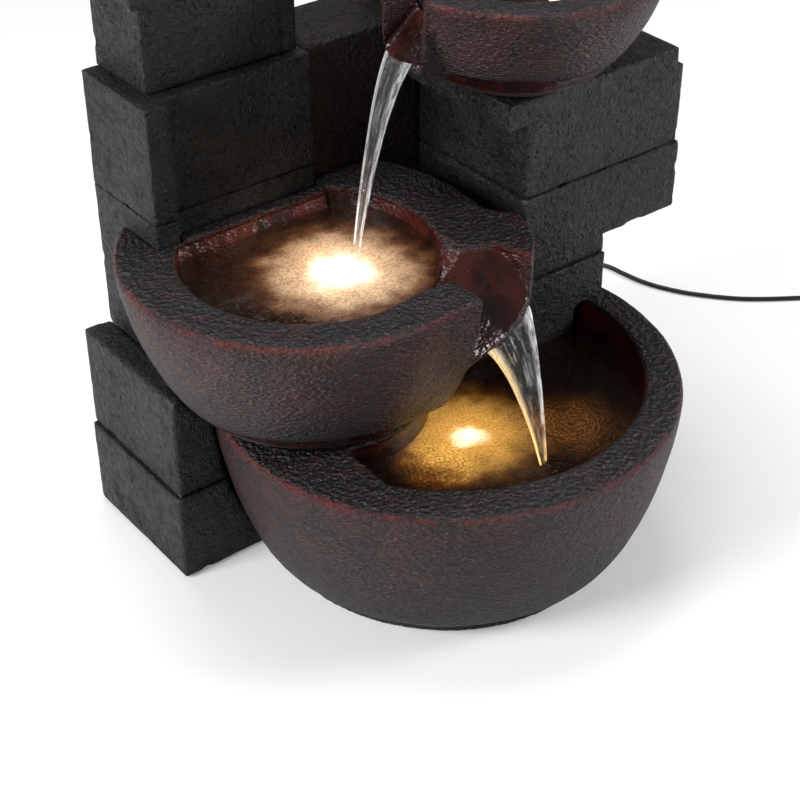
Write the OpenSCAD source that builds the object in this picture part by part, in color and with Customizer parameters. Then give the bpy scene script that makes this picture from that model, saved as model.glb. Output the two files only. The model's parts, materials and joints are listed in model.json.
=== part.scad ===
// Tabletop water fountain with three cast bowls between two block towers.
// Millimetres, Z up, front towards -Y, origin on the ground under the middle of the outline.

/* [Overall] */
// Width from the middle bowl's left side to the slabs' right end
total_w = 374; // [368:2:392]
// Depth from the basin's front to the towers' back
total_d = 300; // [296:2:316]

/* [Basin] */
// Radius of the basin's rim
basin_r = 145; // [143:1:150]
// Height of the basin's rim
basin_h = 117; // [112:1:122]
// Radius of the basin's foot
basin_foot_r = 113; // [106:1:118]
// Radius of the round pool opening
pool_r = 119.4; // [117:0.2:121]
// Radius of the pool at its floor
pool_floor_r = 104; // [102:1:110]
// Thickness of the basin's floor
basin_floor = 14; // [12:1:16]

/* [Middle bowl] */
// Radius of the middle bowl's rim
mid_r = 111; // [109:1:113]
// Height of the middle bowl's rim above the ground
mid_rim_z = 215; // [211:1:219]
// Radius of the middle bowl's foot
mid_foot_r = 68; // [62:1:70]
// Radius of the middle pool
mid_pool_r = 75; // [72:1:78]
// Height of the middle pool's floor
mid_floor_z = 168; // [164:1:172]
// Height of the middle spout's lip
mid_lip_z = 175; // [171:1:179]

/* [Upper bowl] */
// Radius of the upper bowl's rim
upper_r = 85; // [82:1:88]
// Height of the upper bowl's rim above the ground
upper_rim_z = 352; // [346:1:360]
// Radius of the upper pool
upper_pool_r = 64; // [60:1:66]
// Height of the upper spout's lip
upper_lip_z = 312; // [309:1:316]

/* [Towers] */
// Height of the left base block
left_seam_z = 62; // [56:1:68]
// Height of the left shelf block's top
left_shelf_z = 133.5; // [128:0.5:140]
// Height of the seam between the left wall blocks
left_wall_seam_z = 228; // [222:1:234]
// Height of the left tower's cap
left_top_z = 366; // [356:1:376]
// Height of the seam over the pillar block
pillar_top_z = 150; // [147:1:153]
// Height of the lower overhanging slab's bottom
slab_z = 165; // [161:1:166]
// Height of the seam between the overhanging slabs
slab_seam_z = 213; // [211:1:220]
// Height of the right tower's cap
right_top_z = 414; // [404:1:424]
// Wall thickness of the hollow cast blocks
cast_wall = 6; // [5:0.5:6.5]

/* [Pump] */
// Outer diameter of the riser tube
tube_od = 12; // [11:0.5:12.5]
// Bore of the riser tube
tube_id = 8; // [7:0.5:8]
// Radius of the rotor magnet
rotor_r = 7.2; // [6:0.1:7.6]
// Radius of the rotor's fixed shaft
shaft_r = 1.2; // [1:0.1:1.4]

/* [Cord] */
// Diameter of the power cord
cord_d = 3.5; // [3:0.1:4]
// Diameter of the internal leads
lead_d = 2.5; // [2:0.1:2.6]

/* [Hidden] */

stone = "#3a3b3d";
stone_dark = "#2b2a2b";
maroon = "#4d2b2b";
black = "#1c1c1e";
steel = "#b9bcc0";
clear_lens = "#ffe9b8";
rubber = "#262626";

// Clearance between cast pieces, the gap under the blocks, and a small overlap for clean cuts
fit = 0.3;
ground_gap = 1;
cut = 1;

// Main positions, tied to the outline
back_y = total_d / 2;
right_x = total_w / 2;
basin_c = [-4, basin_r - total_d / 2];
pool_c = basin_c + [3, 1];
mid_c = [mid_r - total_w / 2, 35];
mid_pool_c = mid_c + [-5, -8];
upper_c = [72, 28];
tower_l = [-148, -31];
pier_w = 17; // the left tower's side pier
pier_y = 80; // the pier's front face
back_rim_y = 76; // where the middle pool ends, in front of the left tower's wall
tower_l_y = 88;
tower_r = [55, right_x];
plinth_x = [36, 172];
right_top_x = [50, 170];
tower_r_y = -5;
pillar_x = [66, 130];
recess_y = 96;

// Spout outlines in plan: crescent tip, arm tip and the arm's outer corners
spout_top = [[-36, -75], [16, -56], [28, -45], [37, -30], [42, -15], [32, 0], [0, 40], [-60, 0], [-60, -60]];
spout_low = [[-32, -70], [14, -58], [26, -43], [34, -28], [38, -14], [28, -2], [0, 30], [-50, 0], [-50, -50]];
crescent_x = -36;
// Direction in which the spout runs, how far along it the lip is, and where its slope starts
spout_turn = -76.7;
spout_lip_s = 60;
spout_start_s = 22;
spout_start_z = 204;
// The channel's floor is two planes: [distance across, height above the lip's left end, tilt]
spout_floors = [[-41, -3, 8], [-17.5, 2, 33]];

// Pump
pump_c = [53, 38];
pump_face_y = 40;
pump_back_y = 66;
cover_y = 26;
nozzle_y = 33;
nozzle_z = 60;
riser_x = 80;
bend_z = 76;
bend_rise = 36;
riser_top = 314;

// Lamps: places of the housings' bottoms
lower_lamp = [-7, -26.5, 60];
mid_lamp = [-69, 21.5, mid_floor_z];
upper_lamp = [100, 22, 304];
upper_floor_z = 304;
plinth_z = [266, 282];

// Cable parts
gland = [105, back_y, 12];
boot_len = 20;
splice_x = [94, 116];
splice_y = [124, 144];
splice_z = [8, 28];
door_x = [72, 108];
door_z = [124, 205];

pump_lead_path = [[64, 66, 44], [64, 72, 48], [68, 80, 70], [75, 80, 112], [78, 88, 122], [90, 112, 124],
  [97, 130, 112], [97, 134, 90], [97, 134, 28]];
lower_lead_path = [[-7, -26.5, 60], [-7, -26, 48], [2, -10, 34], [10, 4, 27], [13, 14, 26], [20, 32, 30], [24, 60, 60],
  [30, 70, 100], [50, 68, 119], [69, 66, 122], [84, 76, 123], [94, 108, 123], [102, 128, 110],
  [102, 134, 90], [102, 134, 28]];
mid_lead_path = [[-69, 21.5, 168], [-69, 21.5, 142], [-58, 30, 124], [-20, 36, 120], [0, 38, 120.5],
  [30, 54, 121], [50, 60, 121], [69, 61, 122], [88, 70, 122], [101, 104, 122], [107, 126, 110],
  [107, 134, 90], [107, 134, 28]];
upper_lead_path = [[100, 22, 304], [100, 22, 262], [102, 34, 230], [108, 60, 190], [112, 100, 145],
  [112, 128, 112], [112, 134, 90], [112, 134, 28]];
cord_path = [[105, 170, 12], [105, 180, 11], [108, 192, 7], [114, 204, 3.5], [124, 214, 1.8],
  [140, 222, 1.8], [165, 227, 1.8], [200, 226, 1.8], [235, 216, 1.8], [265, 199, 1.8], [286, 178, 1.8],
  [297, 156, 1.8], [299, 142, 1.8], [302, 124, 1.8], [308, 107, 1.8], [320, 86, 1.8], [345, 57, 1.8],
  [380, 31, 1.8], [404, 17, 1.8], [424, 11.6, 2.5]];
cord_tail_path = [[448.6, -13, 9.7], [448.4, -24, 10.2], [447, -36, 10.8], [446, -44, 11]];
coil_c = [424, -13];
coil_r = 21;
coil_thick = 12;
adapter_c = [440, -72];

// Radius of a bowl's side at height u (0 at the foot, 1 at the rim)
function belly(u, foot, rim) = foot + (rim - foot) * pow(1 - pow(1 - u, 1.5), 1 / 1.5);
// Outline of a bowl's side between two heights, for a revolved solid
function side(foot, rim, z0, z1, grow = 0, n = 14) =
  [for (i = [0:n]) [belly(i / n, foot, rim) + grow, z0 + (z1 - z0) * i / n]];

// Points of a smooth curve through a route
function spline(p, i, t) =
  let (a = p[max(i - 1, 0)], b = p[i], c = p[i + 1], d = p[min(i + 2, len(p) - 1)])
  0.5 * (2 * b + (c - a) * t + (2 * a - 5 * b + 4 * c - d) * t * t + (3 * b - a - 3 * c + d) * t * t * t);
function route(p, k) = concat([for (i = [0:len(p) - 2], j = [0:k - 1]) spline(p, i, j / k)], [p[len(p) - 1]]);
function unit(v) = v / norm(v);
function heading(c, i) = unit(c[min(i + 1, len(c) - 1)] - c[max(i - 1, 0)]);
// A sideways direction that stays square to the route
function across(t) = abs(t[2]) > 0.97 ? unit(cross(t, [0, 1, 0])) : unit(cross(t, [0, 0, 1]));
// Sideways directions carried along the route without twist
function carried(c, i) = i == 0 ? across(heading(c, 0)) :
  let (s = carried(c, i - 1), t = heading(c, i)) unit(s - t * (s * t));

module tube(path, d, k = 2) {
  c = route(path, k);
  n = len(c);
  sides = 8;
  points = [for (i = [0:n - 1]) let (t = heading(c, i), u = carried(c, i), v = cross(t, u))
    for (j = [0:sides - 1]) c[i] + d / 2 * (cos(360 * j / sides) * u + sin(360 * j / sides) * v)];
  walls = [for (i = [0:n - 2], j = [0:sides - 1]) let (m = (j + 1) % sides)
    [i * sides + j, (i + 1) * sides + j, (i + 1) * sides + m, i * sides + m]];
  ends = [[for (j = [0:sides - 1]) j], [for (j = [sides - 1:-1:0]) (n - 1) * sides + j]];
  polyhedron(points, concat(walls, ends), convexity = 10);
}

module block(x, y, z) {
  translate([x[0], y[0], z[0]]) cube([x[1] - x[0], y[1] - y[0], z[1] - z[0]]);
}

// A hollow cast block: walls all round, a plate on top or bottom when given
module cast_block(x, y, z, top = 0, bottom = 0, wall = cast_wall) {
  difference() {
    block(x, y, z);
    block([x[0] + wall, x[1] - wall], [y[0] + wall, y[1] - wall],
      [z[0] + (bottom > 0 ? bottom : -cut), z[1] - (top > 0 ? top : -cut)]);
  }
}

// The basin's outside, grown by a clearance, for cutting the blocks behind it
module basin_shape(grow) {
  translate([basin_c[0], basin_c[1], 0]) rotate_extrude($fn = 128)
    polygon(concat([[0, -cut], [basin_foot_r + grow, -cut]], side(basin_foot_r, basin_r, 8, basin_h - 4, grow),
      [[basin_r + grow, basin_h + grow], [0, basin_h + grow]]));
}

module basin() color(maroon) {
  round_r = 4;
  difference() {
    translate([basin_c[0], basin_c[1], 0]) rotate_extrude($fn = 128)
      polygon(concat([[0, ground_gap], [basin_foot_r - 3, ground_gap], [basin_foot_r - 3, 8]],
        side(basin_foot_r, basin_r, 8, basin_h - round_r),
        [for (a = [15:15:90]) [basin_r - round_r + round_r * cos(a), basin_h - round_r + round_r * sin(a)]],
        [[0, basin_h]]));
    difference() {
      translate([pool_c[0], pool_c[1], 0]) rotate_extrude($fn = 128)
        polygon([[0, basin_floor], [pool_floor_r - 8, basin_floor], [pool_floor_r, basin_floor + 3],
          [pool_r, basin_h - 2], [pool_r + 2, basin_h], [pool_r + 2, basin_h + cut], [0, basin_h + cut]]);
      translate([mid_c[0], mid_c[1], 0]) cylinder(r = mid_foot_r + 4, h = basin_h, $fn = 96);
      block([-160, -100], [-160, 160], [0, basin_h]);
    }
    foot_pockets();
  }
}

feet_at = [[-80, -60], [70, -62], [0, 84], [-160, 55], [-150, 140], [60, 138], [-40, 138]];

module foot_pockets() {
  for (p = feet_at) translate([p[0], p[1], 0]) cylinder(r = 6.1, h = 4.1, $fn = 32);
}

module rubber_feet() color(rubber) {
  for (p = feet_at) translate([p[0], p[1], 0]) cylinder(r = 6, h = 4, $fn = 32);
}

module pump_screen() color(stone_dark) difference() {
  block([-8, 64], [6, 10], [basin_floor, 94]);
  for (x = [2:9:56]) block([x, x + 4], [5, 11], [34, 84]);
  block([5, 16], [5, 11], [20, 31]);
}

module mid_shape(grow) {
  translate([mid_c[0], mid_c[1], 0]) rotate_extrude($fn = 128)
    polygon(concat([[0, basin_h]], side(mid_foot_r, mid_r, basin_h, mid_rim_z - 4, grow),
      [[mid_r - 1.2 + grow, mid_rim_z - 1.2], [mid_r - 4, mid_rim_z + grow], [0, mid_rim_z + grow]]));
}

// The middle bowl's straight back rim, in front of the left tower's wall
module back_rim() translate([tower_l[0] - 20, 0, 0]) rotate([90, 0, 90]) linear_extrude(tower_l[1] - tower_l[0] + 20)
  polygon([[back_rim_y - 6, mid_floor_z - cut], [back_rim_y - 2, mid_rim_z - 10], [back_rim_y + 1.5, mid_rim_z - 1],
    [back_rim_y + 3, mid_rim_z], [back_rim_y + 3, mid_rim_z + 2 * cut], [back_y, mid_rim_z + 2 * cut],
    [back_y, mid_floor_z - cut]]);

module mid_spout() {
  hull() {
    translate([0, 0, mid_rim_z - 22]) linear_extrude(22) polygon(spout_top);
    translate([0, 0, mid_lip_z - 4]) linear_extrude(1) polygon(spout_low);
    translate([-50, -6, basin_h + 14]) cylinder(r = 32, h = 2, $fn = 32);
  }
  // Straight front edge from the round rim to the crescent's tip
  translate([mid_c[0], mid_c[1], 0]) rotate([90, 0, 90]) linear_extrude(crescent_x - mid_c[0])
    polygon(concat([[0, basin_h]], [for (q = side(mid_foot_r, mid_r, basin_h, mid_rim_z)) [-q[0], q[1]]],
      [[0, mid_rim_z]]));
}

// All that is above one plane of the channel's floor, which slopes to the lip and ends there
module for_floor(f) rotate([0, 0, spout_turn]) translate([0, f[0], mid_lip_z + f[1]]) rotate([f[2], 0, 0])
  translate([0, 200, 0]) rotate([90, 0, 0]) linear_extrude(400)
    polygon([[-140, spout_start_z - mid_lip_z], [spout_start_s, spout_start_z - mid_lip_z], [spout_lip_s, 0],
      [spout_lip_s + 0.01, -90], [140, -90], [140, 120], [-140, 120]]);

// Everything that the water's channel takes out of the middle bowl's front right
module mid_channel() intersection() {
  linear_extrude(mid_rim_z + 20) polygon([[crescent_x, -95], [crescent_x, -47],
    [mid_pool_c[0], mid_pool_c[1] - mid_pool_r], mid_pool_c, [mid_pool_c[0] + mid_pool_r, mid_pool_c[1]],
    [4, -22], [16, -55], [31, -95]]);
  for_floor(spout_floors[0]);
  for_floor(spout_floors[1]);
}

module mid_bowl() color(maroon) difference() {
  union() {
    mid_shape(0);
    mid_spout();
  }
  difference() {
    translate([mid_pool_c[0], mid_pool_c[1], 0]) rotate_extrude($fn = 128)
      polygon([[0, mid_floor_z], [mid_pool_r - 17, mid_floor_z], [mid_pool_r - 8, mid_floor_z + 6],
        [mid_pool_r - 2, mid_rim_z - 18], [mid_pool_r, mid_rim_z - 2], [mid_pool_r + 2, mid_rim_z],
        [mid_pool_r + 2, mid_rim_z + cut], [0, mid_rim_z + cut]]);
    back_rim();
  }
  mid_channel();
  // Hollow foot with the lead's way out
  translate([mid_c[0], mid_c[1], basin_h - cut]) cylinder(r = 52, h = 34 + cut, $fn = 96);
  block([mid_c[0] + 40, mid_c[0] + 100], [32, 40], [basin_h - cut, 124]);
  translate([mid_lamp[0], mid_lamp[1], basin_h]) cylinder(r = 2, h = 60, $fn = 32);
  // Room for the left tower and the recessed wall
  left_wall_room([basin_h - cut, mid_rim_z + 20]);
  block([tower_l[1] - 5, right_x], [recess_y - fit, back_y + 20], [basin_h - cut, mid_rim_z + 20]);
}

module upper_bowl() color(maroon) difference() {
  foot_r = 38;
  union() {
    translate([upper_c[0], upper_c[1], 0]) rotate_extrude($fn = 128)
      polygon(concat([[0, plinth_z[1]]], side(foot_r, upper_r, plinth_z[1], upper_rim_z - 4),
        [[upper_r - 1.2, upper_rim_z - 1.2], [upper_r - 4, upper_rim_z], [0, upper_rim_z]]));
    hull() {
      translate([-12, 8, upper_rim_z - 30]) cube([40, 40, 30]);
      translate([-14, 14, upper_lip_z - 5]) cube([40, 28, 2]);
      translate([50, upper_c[1], plinth_z[1] + 6]) cylinder(r = 20, h = 2, $fn = 32);
    }
  }
  translate([upper_c[0], upper_c[1], 0]) rotate_extrude($fn = 128)
    polygon([[0, upper_floor_z], [upper_pool_r - 14, upper_floor_z], [upper_pool_r - 4, upper_floor_z + 10],
      [upper_pool_r, upper_rim_z - 2], [upper_pool_r + 2, upper_rim_z],
      [upper_pool_r + 2, upper_rim_z + cut], [0, upper_rim_z + cut]]);
  // Sloped channel to the left
  translate([0, 44, 0]) rotate([90, 0, 0]) linear_extrude(32)
    polygon([[20, upper_rim_z - 12], [-14.01, upper_lip_z], [-14.01, 300], [-40, 300], [-40, 380],
      [30, 380], [30, upper_rim_z - 12]]);
  translate([riser_x, nozzle_y, plinth_z[1] - cut]) cylinder(r = 8, h = 40, $fn = 64);
  translate([upper_lamp[0], upper_lamp[1], plinth_z[1] - cut]) cylinder(r = 2, h = 40, $fn = 32);
  block([-40, 200], [80, 140], [plinth_z[1] - cut, upper_rim_z + cut]);
}

module left_base_block() color(stone) difference() {
  cast_block([-169, -60], [45, back_y], [ground_gap, left_seam_z], top = 8, wall = 20);
  basin_shape(0.6);
  foot_pockets();
}

module left_shelf_block() color(stone) difference() {
  block([-167, -62], [47, back_y], [left_seam_z, left_shelf_z]);
  block([-158, -106], [90, back_y - 8], [left_seam_z - cut, basin_h - 12]);
  basin_shape(0.6);
  block([tower_l[0], 0], [pier_y, back_y + cut], [basin_h, left_shelf_z + cut]);
  block([-140, 0], [40, back_y + cut], [basin_h, left_shelf_z + cut]);
  mid_shape(0.6);
}

// A course of the left tower's wall, with the pier that stands forward at its left end
module left_wall_course(z) difference() {
  union() {
    block(tower_l, [tower_l_y, back_y], z);
    block([tower_l[0], tower_l[0] + pier_w], [pier_y, back_y], z);
  }
  block([tower_l[0] + cast_wall, tower_l[1] - cast_wall], [tower_l_y + cast_wall, back_y - cast_wall],
    [z[0] - cut, z[1] - 8]);
}

// What the wall and its pier take out of the middle bowl
module left_wall_room(z) {
  block([tower_l[0] - fit, tower_l[1] + fit], [tower_l_y - fit, back_y + 20], z);
  block([tower_l[0] - fit, tower_l[0] + pier_w + fit], [pier_y - fit, back_y + 20], z);
}

module left_wall_lower() color(stone) left_wall_course([basin_h, left_wall_seam_z]);

module left_wall_upper() color(stone) left_wall_course([left_wall_seam_z, 300]);

module left_top_block() color(stone)
  cast_block(tower_l + [10, -5], [tower_l_y + 8, back_y], [300, left_top_z - 14], top = 8);

module left_cap() color(stone)
  block(tower_l + [2, 1], [tower_l_y + 2, back_y], [left_top_z - 14, left_top_z]);

module rear_base_block() color(stone) difference() {
  block([-58, 128], [88, back_y], [ground_gap, basin_h]);
  basin_shape(0.6);
  block([88, 122], [116, back_y - cast_wall], [0, basin_h + cut]);
  foot_pockets();
  translate([gland[0], gland[1] - 20, gland[2]]) rotate([-90, 0, 0]) cylinder(r = 4.6, h = 40, $fn = 48);
}

module back_wall() color(stone_dark) {
  difference() {
    union() {
      block(tower_l[1] * [1, 0] + tower_r[0] * [0, 1], [recess_y, back_y], [basin_h, 300]);
      block([tower_r[0] - cut, pillar_x[0]], [recess_y, back_y], [basin_h, slab_z - 15]);
    }
    block([tower_l[1] + cast_wall, plinth_x[0] - cast_wall], [recess_y + cast_wall, back_y - cast_wall],
      [basin_h - cut, 292]);
    block([plinth_x[0] - cast_wall - cut, tower_r[0] - cast_wall], [recess_y + cast_wall, back_y - cast_wall],
      [basin_h - cut, plinth_z[0] - 8]);
    block([plinth_x[0] - fit, tower_r[0] + cut], [recess_y - cut, back_y + cut], [plinth_z[0], plinth_z[1] + fit]);
    block([right_top_x[0] - fit, tower_r[0] + cut], [recess_y - cut, back_y + cut], [plinth_z[1], 300 + cut]);
  }
}

module right_pillar_block() color(stone) difference() {
  union() {
    cast_block(pillar_x, [tower_r_y + 3, back_y], [basin_h, pillar_top_z]);
    block([pillar_x[0], 106], [tower_r_y + 3, tower_r_y + 9], [62, basin_h]);
    block([pillar_x[0], pillar_x[0] + cast_wall], [tower_r_y + 3, 23], [62, basin_h]);
  }
  block([pillar_x[0] - cut, pillar_x[0] + cast_wall + cut], [56, 72], [basin_h - cut, 128]);
  door_cut();
}

module door_cut() block(door_x, [back_y - 10, back_y + 10], door_z);

module right_neck_slab() color(stone) difference() {
  cast_block(pillar_x + [2, 0], [tower_r_y + 4, back_y], [pillar_top_z, slab_z]);
  door_cut();
}

module right_slab_lower() color(stone) difference() {
  cast_block(tower_r, [tower_r_y, back_y], [slab_z, slab_seam_z], bottom = 8);
  block([pillar_x[0] + 7, pillar_x[1] - cast_wall], [6, back_y - cast_wall], [slab_z - cut, slab_z + 10]);
  door_cut();
}

module right_slab_upper() color(stone) difference() {
  cast_block(tower_r - [0, 3], [tower_r_y, back_y], [slab_seam_z, plinth_z[0]], top = 8);
  block([64, 106], [10, 52], [plinth_z[0] - 10, plinth_z[0] + cut]);
}

module right_plinth() color(stone) difference() {
  block(plinth_x, [-10, back_y], plinth_z);
  block([64, 106], [10, 52], [plinth_z[0] - cut, plinth_z[1] + cut]);
}

module right_top_block() color(stone)
  cast_block(right_top_x, [80 + fit, back_y], [plinth_z[1], right_top_z - 14], top = 8);

module right_cap() color(stone)
  block([44, 176], [74, back_y], [right_top_z - 14, right_top_z]);

module rear_door() color(stone_dark) difference() {
  block(door_x + [fit, -fit], [back_y - cast_wall, back_y], door_z + [fit, -fit]);
  translate([(door_x[0] + door_x[1]) / 2, back_y + 4, door_z[1] - 14]) rotate([0, 90, 0])
    cylinder(r = 8, h = 18, center = true, $fn = 48);
}

module door_catches() color(steel) {
  for (z = [door_z[0] + 12, door_z[1] - 22])
    block([door_x[0] + 8, door_x[1] - 8], [back_y - cast_wall - 1.2, back_y - cast_wall], [z, z + 8]);
}

// Pump pieces lie along the Y axis through pump_c
module along_y(y0, y1, r, sides = 48) {
  translate([pump_c[0], y0, pump_c[1]]) rotate([-90, 0, 0]) cylinder(r = r, h = y1 - y0, $fn = sides);
}

module pump_housing() color(black) difference() {
  block([pump_c[0] - 21, pump_c[0] + 21], [pump_face_y, pump_back_y], [20, 58]);
  along_y(pump_face_y - cut, 63, rotor_r + 1);
  block([36, 70], [44, 62], [19, 27.5]);
  o_ring(1.05);
}

module stator_coil() color("#8a4b22")
  block([36.5, 69.5], [44.5, 61.5], [20, 27.2]);

module volute_cover() color(black) difference() {
  union() {
    block([pump_c[0] - 17, pump_c[0] + 17], [cover_y, pump_face_y], [21, 55]);
    translate([pump_c[0], nozzle_y, 50]) cylinder(r = 6.9, h = nozzle_z - 50, $fn = 48);
  }
  along_y(28.4, pump_face_y + cut, 12);
  along_y(cover_y - cut, 30, 6.5);
  translate([pump_c[0], nozzle_y, pump_c[1]]) cylinder(r = 4, h = 40, $fn = 48);
  o_ring(1.05);
}

module o_ring(r) {
  translate([pump_c[0], pump_face_y, pump_c[1]]) rotate([90, 0, 0]) rotate_extrude($fn = 64)
    translate([14.5, 0]) circle(r = r, $fn = 24);
}

module cover_o_ring() color(rubber) o_ring(1);

module intake_strainer() color(black) difference() {
  union() {
    along_y(20, cover_y, 15);
    along_y(20, 29, 3.4);
  }
  along_y(24, 30, 2.6);
  along_y(19, 23, 1.55);
  for (a = [0:45:315]) translate([pump_c[0] + 9.5 * cos(a), 19, pump_c[1] + 9.5 * sin(a)]) rotate([-90, 0, 0])
    cylinder(r = 2.2, h = 10, $fn = 32);
}

module flow_dial() color("#c8472b") {
  difference() {
    along_y(16, 19.7, 12);
    for (a = [22.5:45:337.5]) translate([pump_c[0] + 9.5 * cos(a), 15, pump_c[1] + 9.5 * sin(a)])
      rotate([-90, 0, 0]) cylinder(r = 2, h = 10, $fn = 32);
  }
  along_y(19, 22.5, 1.5);
  block([pump_c[0] - 1.5, pump_c[0] + 1.5], [12.5, 17], [pump_c[1], pump_c[1] + 11]);
}

module impeller() color("#e8e8e2") difference() {
  union() {
    along_y(30, 41, 3.5);
    for (a = [0:60:300]) translate([pump_c[0], 31, pump_c[1]]) rotate([0, a, 0]) translate([2.5, 0, -0.8])
      cube([7.8, 7, 1.6]);
  }
  along_y(29, 42, shaft_r + 0.05);
}

module rotor_magnet() color("#4a4d52") difference() {
  along_y(41, 60, rotor_r);
  along_y(40, 61, shaft_r + 0.05);
}

module impeller_shaft() color(steel) along_y(24.5, 62.9, shaft_r);

module shaft_bushes() color("#e9e4d4") {
  difference() {
    along_y(24.5, 29, 2.55);
    along_y(24, 30, shaft_r);
  }
  difference() {
    along_y(60.3, 63, 3);
    along_y(60, 64, shaft_r);
  }
}

module pump_outlet() color(black) translate([pump_c[0], nozzle_y, 0]) difference() {
  union() {
    translate([0, 0, nozzle_z]) cylinder(r = 6.9, h = 2, $fn = 48);
    translate([0, 0, nozzle_z]) cylinder(r = tube_id / 2, h = 12, $fn = 48);
  }
  translate([0, 0, nozzle_z - cut]) cylinder(r = 2.8, h = 20, $fn = 48);
}

module suction_cups() color(rubber) {
  for (x = [42, 64], y = [45, 58]) translate([x, y, basin_floor]) {
    cylinder(r1 = 5, r2 = 3, h = 3.5, $fn = 32);
    cylinder(r = 3, h = 6, $fn = 32);
  }
}

// The riser's shape at a radius: up from the pump, across to the tower, then up to the upper bowl
module riser_shape(r, grow = 0) {
  low = [pump_c[0], nozzle_y, bend_z];
  high = [riser_x, nozzle_y, bend_z + bend_rise];
  lean = high - low;
  translate([low[0], low[1], nozzle_z + 2 - grow]) cylinder(r = r, h = bend_z - nozzle_z - 2 + grow, $fn = 48);
  translate(low) sphere(r = r, $fn = 48);
  translate(low) rotate([0, atan2(lean[0], lean[2]), 0]) cylinder(r = r, h = norm(lean), $fn = 48);
  translate(high) sphere(r = r, $fn = 48);
  translate(high) cylinder(r = r, h = riser_top - high[2] + grow, $fn = 48);
}

module riser_tube() color("#d9dde0", 0.6) difference() {
  riser_shape(tube_od / 2);
  riser_shape(tube_id / 2, cut);
}

module tube_clips() color(black) {
  for (z = [190, 240]) translate([riser_x, nozzle_y, z]) difference() {
    union() {
      cylinder(r = tube_od / 2 + 2.5, h = 8, $fn = 48);
      block([tower_r[0] + cast_wall - riser_x, -6], [-3, 3], [0, 8]);
    }
    translate([0, 0, -cut]) cylinder(r = tube_od / 2, h = 10, $fn = 48);
  }
}

module riser_grommet() color(rubber) translate([riser_x, nozzle_y, 0]) difference() {
  union() {
    translate([0, 0, plinth_z[1] + 2]) cylinder(r = 8, h = upper_floor_z - plinth_z[1], $fn = 48);
    translate([0, 0, upper_floor_z]) cylinder(r = 10.5, h = 2, $fn = 48);
  }
  translate([0, 0, plinth_z[1]]) cylinder(r = tube_od / 2, h = 60, $fn = 48);
}

module outlet_head() color(black) translate([riser_x, nozzle_y, 0]) difference() {
  translate([0, 0, upper_floor_z + 3]) cylinder(r = 9, h = 16, $fn = 48);
  translate([0, 0, upper_floor_z]) cylinder(r = tube_od / 2, h = riser_top - upper_floor_z, $fn = 48);
  translate([0, 0, riser_top - 5]) cylinder(r = 6.5, h = 11, $fn = 48);
  for (a = [0:60:300]) rotate([0, 0, a]) block([5, 12], [-1.5, 1.5], [riser_top + 1, riser_top + 5]);
}

module lamp_housing(at) color(black) translate(at) difference() {
  cylinder(r = 8, h = 16, $fn = 48);
  translate([0, 0, 5]) cylinder(r = 6, h = 12, $fn = 48);
}

// A step that sits on the gasket, and a domed top
module lamp_lens(at) color(clear_lens) translate(at + [0, 0, 17]) {
  cylinder(r = 7.6, h = 1.5, $fn = 48);
  translate([0, 0, 1.5]) intersection() {
    translate([0, 0, -6]) sphere(r = 9, $fn = 48);
    cylinder(r = 6.7, h = 4, $fn = 48);
  }
}

module lower_lamp_housing() lamp_housing(lower_lamp);
module mid_lamp_housing() lamp_housing(mid_lamp);
module upper_lamp_housing() lamp_housing(upper_lamp);
module lower_lamp_lens() lamp_lens(lower_lamp);
module mid_lamp_lens() lamp_lens(mid_lamp);
module upper_lamp_lens() lamp_lens(upper_lamp);

module lamp_gaskets() color(rubber) {
  for (at = [lower_lamp, mid_lamp, upper_lamp]) translate(at + [0, 0, 16]) difference() {
    cylinder(r = 7.8, h = 1, $fn = 48);
    translate([0, 0, -cut]) cylinder(r = 6, h = 3, $fn = 48);
  }
}

module lower_lamp_bracket() color(black) difference() {
  union() {
    translate(lower_lamp + [0, 0, 4]) cylinder(r = 10, h = 6, $fn = 48);
    block([lower_lamp[0] - 1, lower_lamp[0] + 7], [lower_lamp[1] + 8.5, 6], [lower_lamp[2] + 4, lower_lamp[2] + 10]);
  }
  translate(lower_lamp) cylinder(r = 8, h = 20, $fn = 48);
}

module pump_lead() color(black) tube(pump_lead_path, lead_d);
module lower_lamp_lead() color(black) tube(lower_lead_path, lead_d);
module mid_lamp_lead() color(black) tube(mid_lead_path, lead_d);
module upper_lamp_lead() color(black) tube(upper_lead_path, lead_d);

module cable_splice() color(black) block(splice_x, splice_y, splice_z);

module cable_gland() color(black) translate([gland[0], 0, gland[2]]) rotate([-90, 0, 0]) difference() {
  union() {
    translate([0, 0, splice_y[1]]) cylinder(r = 4.5, h = back_y - splice_y[1], $fn = 48);
    translate([0, 0, back_y]) cylinder(r = 6.5, h = 3, $fn = 6);
  }
  translate([0, 0, splice_y[1] - cut]) cylinder(d = cord_d, h = 20, $fn = 32);
}

module strain_relief() color(rubber) translate([gland[0], back_y + 3, gland[2]]) rotate([-90, 0, 0]) difference() {
  cylinder(r1 = 4.2, r2 = 2.5, h = boot_len - 3, $fn = 48);
  translate([0, 0, -cut]) cylinder(d = cord_d, h = boot_len, $fn = 32);
}

module power_cord() color(black) {
  tube(cord_path, cord_d, 3);
  tube(cord_tail_path, cord_d);
}

module cord_coil() color(black) translate([coil_c[0], coil_c[1], coil_thick / 2 + 0.1])
  rotate_extrude($fn = 96) translate([coil_r, 0]) circle(d = coil_thick, $fn = 24);

module cord_tie() color(black) translate([coil_c[0], coil_c[1] - coil_r, coil_thick / 2 + 0.2])
  rotate([0, 90, 0]) difference() {
    cylinder(d = coil_thick + 1.6, h = 3, center = true, $fn = 48);
    cylinder(d = coil_thick + 0.5, h = 5, center = true, $fn = 48);
  }

module plug_adapter() color(black) block([adapter_c[0] - 20, adapter_c[0] + 20],
  [adapter_c[1] - 28, adapter_c[1] + 28], [0, 34]);

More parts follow.
